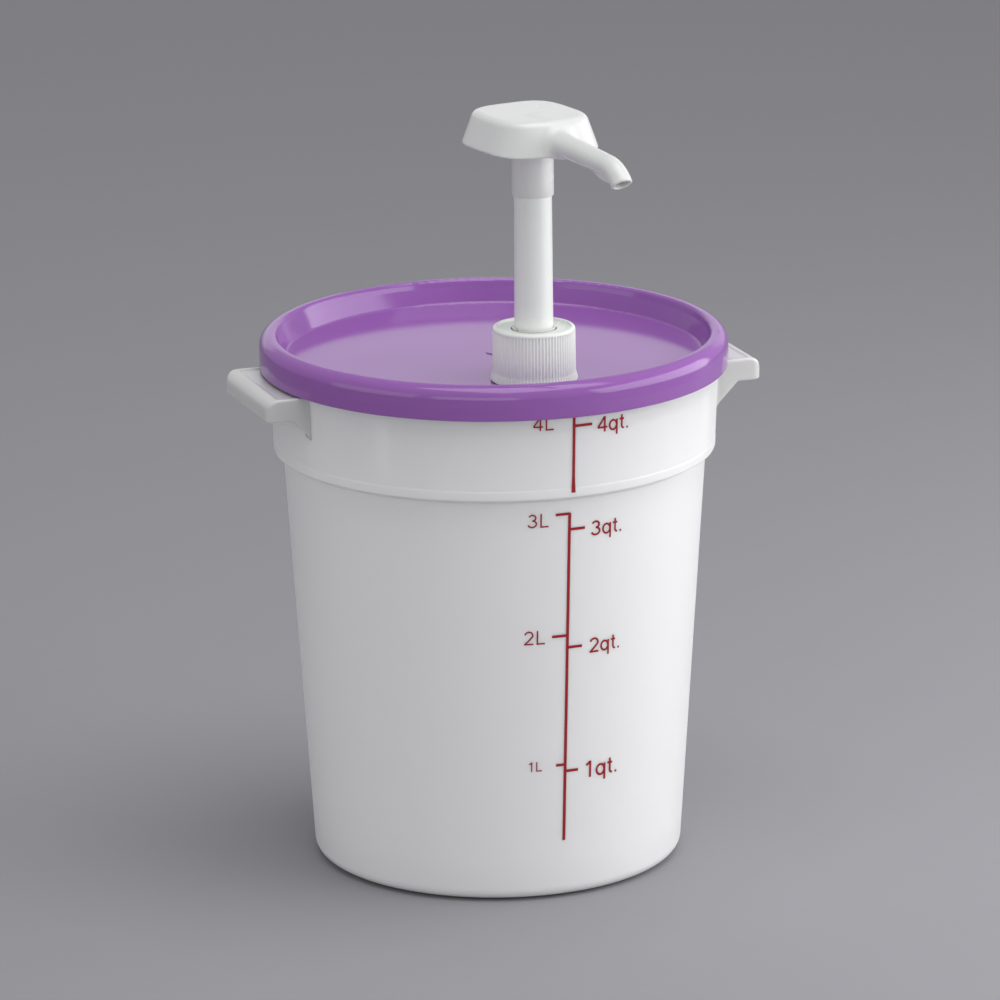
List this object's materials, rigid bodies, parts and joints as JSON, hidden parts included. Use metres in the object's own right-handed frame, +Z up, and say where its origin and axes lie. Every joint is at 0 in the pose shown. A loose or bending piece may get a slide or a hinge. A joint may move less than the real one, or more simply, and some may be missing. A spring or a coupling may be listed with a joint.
{
  "type": "condiment pump dispenser",
  "caption": "Round translucent tub with two hand grips, a snap lid and a screw-on plunger pump whose long spout reaches past the rim.",
  "frame": {"origin": "the tub's axis at the underside of its floor", "axes": "+Z up along the tub's axis, +X through the right hand grip, -Y towards the printed scale and the pump's side of the lid"},
  "size_m": [0.2072, 0.2091, 0.3136],
  "materials": {
    "tub": "milky translucent polypropylene",
    "lid": "gloss",
    "pump_white": "semi-gloss",
    "collar_white": "semi-gloss, ribbed",
    "natural": "natural polypropylene",
    "seal": "matt rubber",
    "steel": "stainless wire",
    "ball": "polished stainless",
    "ink": "printed ink"
  },
  "bodies": {
    "tub": {"container": "tub"},
    "lid_and_barrel": {"lid": "lid", "neck_gasket": "seal", "pump_barrel": "natural", "stem_guide": "pump_white", "stem_seal": "seal", "spring_seat": "natural", "dip_tube": "natural", "return_spring": "steel"},
    "slip_washer": {"collar_washer": "natural"},
    "screw_collar": {"collar": "collar_white"},
    "plunger": {"piston_stem": "pump_white", "piston": "natural", "piston_seal": "seal", "outlet_ball_cage": "natural"},
    "head": {"pump_head": "pump_white"},
    "outlet_valve": {"outlet_ball": "ball"},
    "inlet_valve": {"inlet_ball": "ball"}
  },
  "joints": [
    {"name": "lid_lift", "type": "slide", "parent": "tub", "child": "lid_and_barrel", "axis": [0, 0, 1], "range_m": [0, 0.22]},
    {"name": "collar_rise", "type": "slide", "parent": "lid_and_barrel", "child": "slip_washer", "axis": [0, 0, 1], "range_m": [0, 0.0064]},
    {"name": "collar_turn", "type": "hinge", "parent": "slip_washer", "child": "screw_collar", "pos_m": [0, -0.046, 0.217], "axis": [0, 0, 1], "range_deg": [0, 540]},
    {"name": "pump_stroke", "type": "slide", "parent": "lid_and_barrel", "child": "plunger", "axis": [0, 0, -1], "range_m": [0, 0.046], "stiffness_N_per_m": 220, "springref_m": -0.035, "deforming": ["return_spring"]},
    {"name": "head_swivel", "type": "hinge", "parent": "plunger", "child": "head", "pos_m": [0, -0.046, 0.29], "axis": [0, 0, 1], "continuous": true},
    {"name": "outlet_ball_lift", "type": "slide", "parent": "plunger", "child": "outlet_valve", "axis": [0, 0, 1], "range_m": [0, 0.003]},
    {"name": "inlet_ball_lift", "type": "slide", "parent": "lid_and_barrel", "child": "inlet_valve", "axis": [0, 0, 1], "range_m": [0, 0.003]}
  ],
  "couplings": [
    {"joint": "collar_rise", "follows": "collar_turn", "m_per_rad": 0.00066845}
  ]
}
